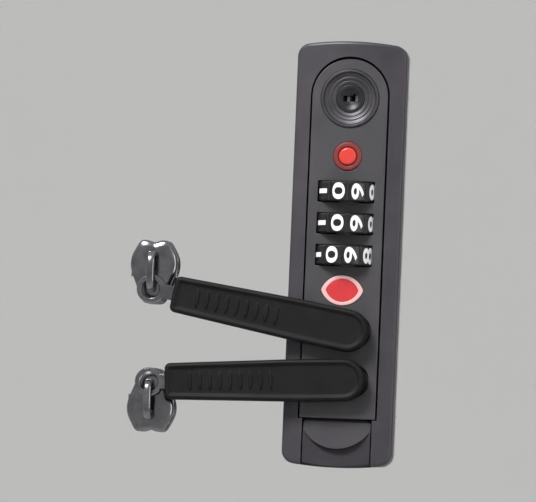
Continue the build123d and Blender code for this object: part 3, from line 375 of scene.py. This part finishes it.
def glyph(text):
    """A digit's mesh in the font's own units, and its lowest and highest x and y."""
    curve = bpy.data.curves.new("glyph", "FONT")
    curve.body = text
    curve.offset = DIGIT_WEIGHT
    curve.extrude = 0.5
    obj = bpy.data.objects.new("glyph", curve)
    scene.collection.objects.link(obj)
    bpy.context.view_layer.update()
    depsgraph = bpy.context.evaluated_depsgraph_get()
    mesh = bpy.data.meshes.new_from_object(obj.evaluated_get(depsgraph))
    bpy.data.objects.remove(obj)
    bpy.data.curves.remove(curve)
    xs = [v.co.x for v in mesh.vertices]
    ys = [v.co.y for v in mesh.vertices]
    return mesh, (min(xs), max(xs), min(ys), max(ys))


GLYPHS = {str(n): glyph(str(n)) for n in range(10)}
zero = GLYPHS["0"][1]
WIDE = DIGIT_WIDE / (zero[1] - zero[0])
TALL = DIGIT_TALL / (zero[3] - zero[2])
for number, rest in enumerate(DIAL_REST, start=1):
    low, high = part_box(f"dial_{number}")
    middle = (low.z + high.z) / 2 / MM
    whole = bmesh.new()
    for n in range(10):
        mesh, (x0, x1, y0, y1) = GLYPHS[str(n)]
        bm = bmesh.new()
        bm.from_mesh(mesh)
        bmesh.ops.remove_doubles(bm, verts=bm.verts, dist=1e-5)
        for v in bm.verts:
            v.co.x = (v.co.x - (x0 + x1) / 2) * WIDE
            v.co.y = (v.co.y - (y0 + y1) / 2) * TALL
        for cut in range(-CUTS_EACH_WAY, CUTS_EACH_WAY + 1):
            bmesh.ops.bisect_plane(
                bm, geom=bm.verts[:] + bm.edges[:] + bm.faces[:],
                plane_co=(0, cut * CUT_STEP, 0), plane_no=(0, 1, 0),
            )
        for v in bm.verts:
            angle = math.radians(rest - DIGIT_STEP * n) - v.co.y / DIAL_R
            radius = DIAL_R + (DIGIT_PROUD if v.co.z > 0 else -DIGIT_SUNK)
            v.co = Vector((radius * math.sin(angle), -radius * math.cos(angle), middle + v.co.x))
        part = bpy.data.meshes.new("part")
        bm.to_mesh(part)
        bm.free()
        whole.from_mesh(part)
        bpy.data.meshes.remove(part)
    new_object(f"dial_{number}_digits", whole, "digit_white", f"dial_{number}", 30.0)
for mesh, _ in GLYPHS.values():
    bpy.data.meshes.remove(mesh)


# ---- moulded straps of the pulls ---------------------------------------------------------------
# the tongue's middle, the crown leg's middle, and which way the slider points
PULLS = {
    "upper": (Vector((1.9, 0, -17.3)), Vector((-43.3, 0, -9.4)), 1),
    "lower": (Vector((1.5, 0, -28.4)), Vector((-42.8, 0, -30.3)), -1),
}
STRAP_R, STRAP_LENGTH, STRAP_CORNER = 4.75, 40.6, 1.3
TAPER_START, TAPER_LENGTH, TAPER = 12.0, 28.0, 0.65
# how far in the edge is at each height, from the back over the raised rim to the sunk panel
STRAP_LEVELS = (
    (0.6, 4.5), (0.35, 4.5), (0.1, 4.6), (0.0, 4.85), (0.0, 6.6), (0.1, 7.0), (0.32, 7.32),
    (0.7, 7.5), (1.0, 7.42), (1.2, 7.2), (1.4, 7.08), (1.6, 7.05), (1.9, 7.05),
)
GRIP_COUNT, GRIP_START, GRIP_PITCH = 9, 16.4, 2.3
GRIP_HALF_W, GRIP_HALF_L = 0.55, 2.1
GRIP_LEVELS = ((1.0, 6.9), (1.0, 7.12), (0.85, 7.3), (0.6, 7.4), (0.3, 7.43))
BOSS_R = 2.9
BOSS_LEVELS = ((1.0, 4.7), (1.0, 2.3), (0.93, 2.05))


def strap_outline(d):
    """The strap's edge seen from the front, moved in by d: u along it, v across it."""
    corner = max(STRAP_CORNER - d, 0.4)
    end = STRAP_LENGTH - d
    half = []
    for i in range(1, 13):
        a = math.radians(180 - 90 * i / 12)
        half.append(((STRAP_R - d) * math.cos(a), (STRAP_R - d) * math.sin(a)))
    for i in range(1, 13):
        u = (end - corner) * i / 12
        half.append((u, STRAP_R - d - TAPER * max(0.0, u - TAPER_START) / TAPER_LENGTH))
    u, v = half[-1]
    for i in range(1, 6):
        a = math.radians(90 - 18 * i)
        half.append((u + corner * math.cos(a), v - corner + corner * math.sin(a)))
    lower = [(d - STRAP_R, 0.0)] + [(u, -v) for u, v in half]
    return lower + [(end, 0.0)] + list(reversed(half))


for name, (tongue, leg, _) in PULLS.items():
    along = (leg - tongue).normalized()
    across = Vector((0, -1, 0)).cross(along)

    def place(u, v, y):
        return tongue + along * u + across * v + Vector((0, -y, 0))

    bm = bmesh.new()
    stack(bm, [[place(u, v, y) for u, v in strap_outline(d)] for d, y in STRAP_LEVELS])
    # grip bars in the sunk panel
    rim = oval(GRIP_HALF_W, GRIP_HALF_L, 15)
    for i in range(GRIP_COUNT):
        u0 = GRIP_START + i * GRIP_PITCH
        stack(bm, [[place(u0 + u * k, v * (0.7 + 0.3 * k), y) for u, v in rim]
                   for k, y in GRIP_LEVELS])
    # boss that seats in the lock's pocket
    circle = oval(BOSS_R, BOSS_R, 10)
    stack(bm, [[place(u * k, v * k, y) for u, v in circle] for k, y in BOSS_LEVELS])
    strap = new_object(f"{name}_strap_moulding", bm, "pull_rubber", f"{name}_pull", 50.0)
    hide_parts(f"{name}_strap")


# ---- zipper sliders ----------------------------------------------------------------------------
SLIDER_CORNERS = [
    (0.0, -7.2), (2.0, -6.9), (3.0, -5.2), (4.1, -2.6), (5.25, 0.6), (5.2, 3.2), (4.1, 5.6),
    (3.1, 7.0), (1.6, 7.15), (0.0, 6.7),
]
SLIDER_OUTLINE = smooth_outline(
    SLIDER_CORNERS + [(-u, v) for u, v in reversed(SLIDER_CORNERS[1:-1])], 5
)
SLIDER_OFFSET = 4.0  # from the crown's leg to the slider's middle
# the outline's scale at each height of the two wings
FRONT_WING = (
    (0.92, 2.0), (1.0, 2.15), (1.0, 2.5), (0.97, 2.8), (0.90, 3.05), (0.78, 3.25), (0.6, 3.4),
    (0.4, 3.48), (0.2, 3.5),
)
REAR_WING = ((0.85, -2.2), (0.96, -2.1), (1.0, -1.8), (1.0, -1.3), (0.95, -1.0))
DIVIDER_R, DIVIDER_V, DIVIDER_Y = 2.0, 4.4, (2.1, -1.1)
FLANGE = ((5.15, -1.2), (5.2, 3.0), (4.2, 5.3), (3.5, 5.0), (4.35, 2.8), (4.3, -1.0))
FLANGE_Y = (2.2, 1.2)
CROWN_LEG = ((-4.05, 3.0), (-4.05, 4.4), (-4.0, 5.6), (-3.6, 6.5), (-2.7, 7.02), (-1.3, 7.14))
CROWN_PATH = [*CROWN_LEG, (0.0, 7.16), *((-v, y) for v, y in reversed(CROWN_LEG))]
CROWN_HALF_W, CROWN_HALF_T, CROWN_SQUARENESS = 0.85, 0.55, 0.6


def squared(value):
    """A sine or cosine pushed outward, so that an oval of them is nearly a rounded rectangle."""
    return math.copysign(abs(value) ** CROWN_SQUARENESS, value)


for name, (_, leg, way) in PULLS.items():
    centre = leg + Vector((0, 0, way * SLIDER_OFFSET))

    def spot(u, v, y):
        return centre + Vector((way * u, -y, way * v))

    bm = bmesh.new()
    for wing in (FRONT_WING, REAR_WING):
        stack(bm, [[spot(u * k, v * k, y) for u, v in SLIDER_OUTLINE] for k, y in wing])
    divider = oval(DIVIDER_R, DIVIDER_R, 15, (0.0, DIVIDER_V))
    stack(bm, [[spot(u, v, y) for u, v in divider] for y in DIVIDER_Y], False, False)
    # flanges that close the sides of the tooth channel
    for side in (-1, 1):
        stack(bm, [[spot(side * u, v, y) for u, v in FLANGE] for y in FLANGE_Y])
    body = new_object(f"{name}_slider_casting", bm, "slider_metal", f"{name}_slider", 38.0)
    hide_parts(f"{name}_slider_body")

    # the crown: a rounded bar bent over from one foot to the other
    loops = []
    for i, (v, y) in enumerate(CROWN_PATH):
        (va, ya), (vb, yb) = CROWN_PATH[max(0, i - 1)], CROWN_PATH[min(len(CROWN_PATH) - 1, i + 1)]
        size = math.hypot(vb - va, yb - ya)
        nv, ny = -(yb - ya) / size, (vb - va) / size
        loop = []
        for k in range(16):
            a = math.radians(k * 22.5)
            wide = CROWN_HALF_W * squared(math.cos(a))
            thick = CROWN_HALF_T * squared(math.sin(a))
            loop.append(spot(wide, v + nv * thick, y + ny * thick))
        loops.append(loop)
    bm = bmesh.new()
    stack(bm, loops)
    crown = new_object(f"{name}_crown_bar", bm, "slider_metal", f"{name}_slider", 50.0)
    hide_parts(f"{name}_slider_crown")


# ---- coil springs in place of the CAD spring nodes ---------------------------------------------
STEPS_A_TURN = 28


def coils(name, node, places, radius, wire, turns):
    """Round-wire springs on upright axes, in place of a CAD node that shortens under load."""
    low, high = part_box(node)
    bottom, top = low.z / MM + wire, high.z / MM - wire
    steps = turns * STEPS_A_TURN
    bm = bmesh.new()
    for x, y in places:
        loops = []
        for i in range(steps + 1):
            a = 2 * math.pi * i * turns / steps
            outward = Vector((math.cos(a), math.sin(a), 0))
            middle = Vector((x, y, bottom + (top - bottom) * i / steps)) + outward * radius
            loops.append([
                middle + outward * wire * math.cos(math.radians(k * 36))
                + Vector((0, 0, wire * math.sin(math.radians(k * 36))))
                for k in range(10)
            ])
        stack(bm, loops)
    obj = new_object(name, bm, "spring_steel", "lock_body", 50.0)
    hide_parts(node)
    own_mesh(obj)


coils("shaft_spring_coil", "shaft_spring", [(0, 0)], 1.6, 0.25, 3)
coils(
    "latch_spring_coils", "latch_springs", [(-5.9, 4.5), (5.9, 4.5)], 1.1, 0.2, 6,
)


# ---- floor, light and background ---------------------------------------------------------------
# one pale bowl, so that every view has the floor or its wall behind the lock
FLOOR_Z, BOWL_R, BOWL_BEND, BOWL_H = -1.2, 2.6, 0.6, 2.9
section = [(0.6, 0.0), (1.3, 0.0), (BOWL_R - BOWL_BEND, 0.0)]
section += [
    (BOWL_R - BOWL_BEND + BOWL_BEND * math.sin(a), BOWL_BEND - BOWL_BEND * math.cos(a))
    for a in (math.radians(k * 10) for k in range(1, 10))
]
section += [(BOWL_R, BOWL_H)]
bm = bmesh.new()
stack(bm, [[(u, v, FLOOR_Z + z) for u, v in oval(r, r, 5)] for r, z in section], cap_last=False)
bmesh.ops.recalc_face_normals(bm, faces=bm.faces)
floor_mesh = bpy.data.meshes.new("floor")
bm.to_mesh(floor_mesh)
bm.free()
for polygon in floor_mesh.polygons:
    polygon.use_smooth = True
floor = bpy.data.objects.new("floor", floor_mesh)
scene.collection.objects.link(floor)
floor_tree = Tree("floor_pale")
floor_tree.link(
    floor_tree.mix(floor_tree.noise(3.0, 2.0), (0.78, 0.78, 0.775), (0.82, 0.82, 0.815)),
    floor_tree.shader.inputs["Base Color"],
)
floor_tree.shader.inputs["Roughness"].default_value = 0.9
floor_mesh.materials.append(floor_tree.material)

world = bpy.data.worlds.new("studio")
world.use_nodes = True
sky = world.node_tree.nodes["Background"]
sky.inputs["Color"].default_value = (0.93, 0.93, 0.93, 1.0)
sky.inputs["Strength"].default_value = 0.65
scene.world = world


def area_light(name, place, aim, size, power):
    data = bpy.data.lights.new(name, "AREA")
    data.shape = "RECTANGLE"
    data.size, data.size_y = size
    data.energy = power
    obj = bpy.data.objects.new(name, data)
    obj.location = place
    obj.rotation_mode = "QUATERNION"
    obj.rotation_quaternion = (Vector(aim) - Vector(place)).to_track_quat("-Z", "Y")
    scene.collection.objects.link(obj)


area_light("key", (-0.40, -0.70, 0.75), (0, 0, 0), (0.36, 0.36), 16.0)
area_light("fill", (0.75, -0.60, 0.10), (0, 0, 0), (0.3, 0.8), 2.5)
scene.view_settings.view_transform = "Standard"
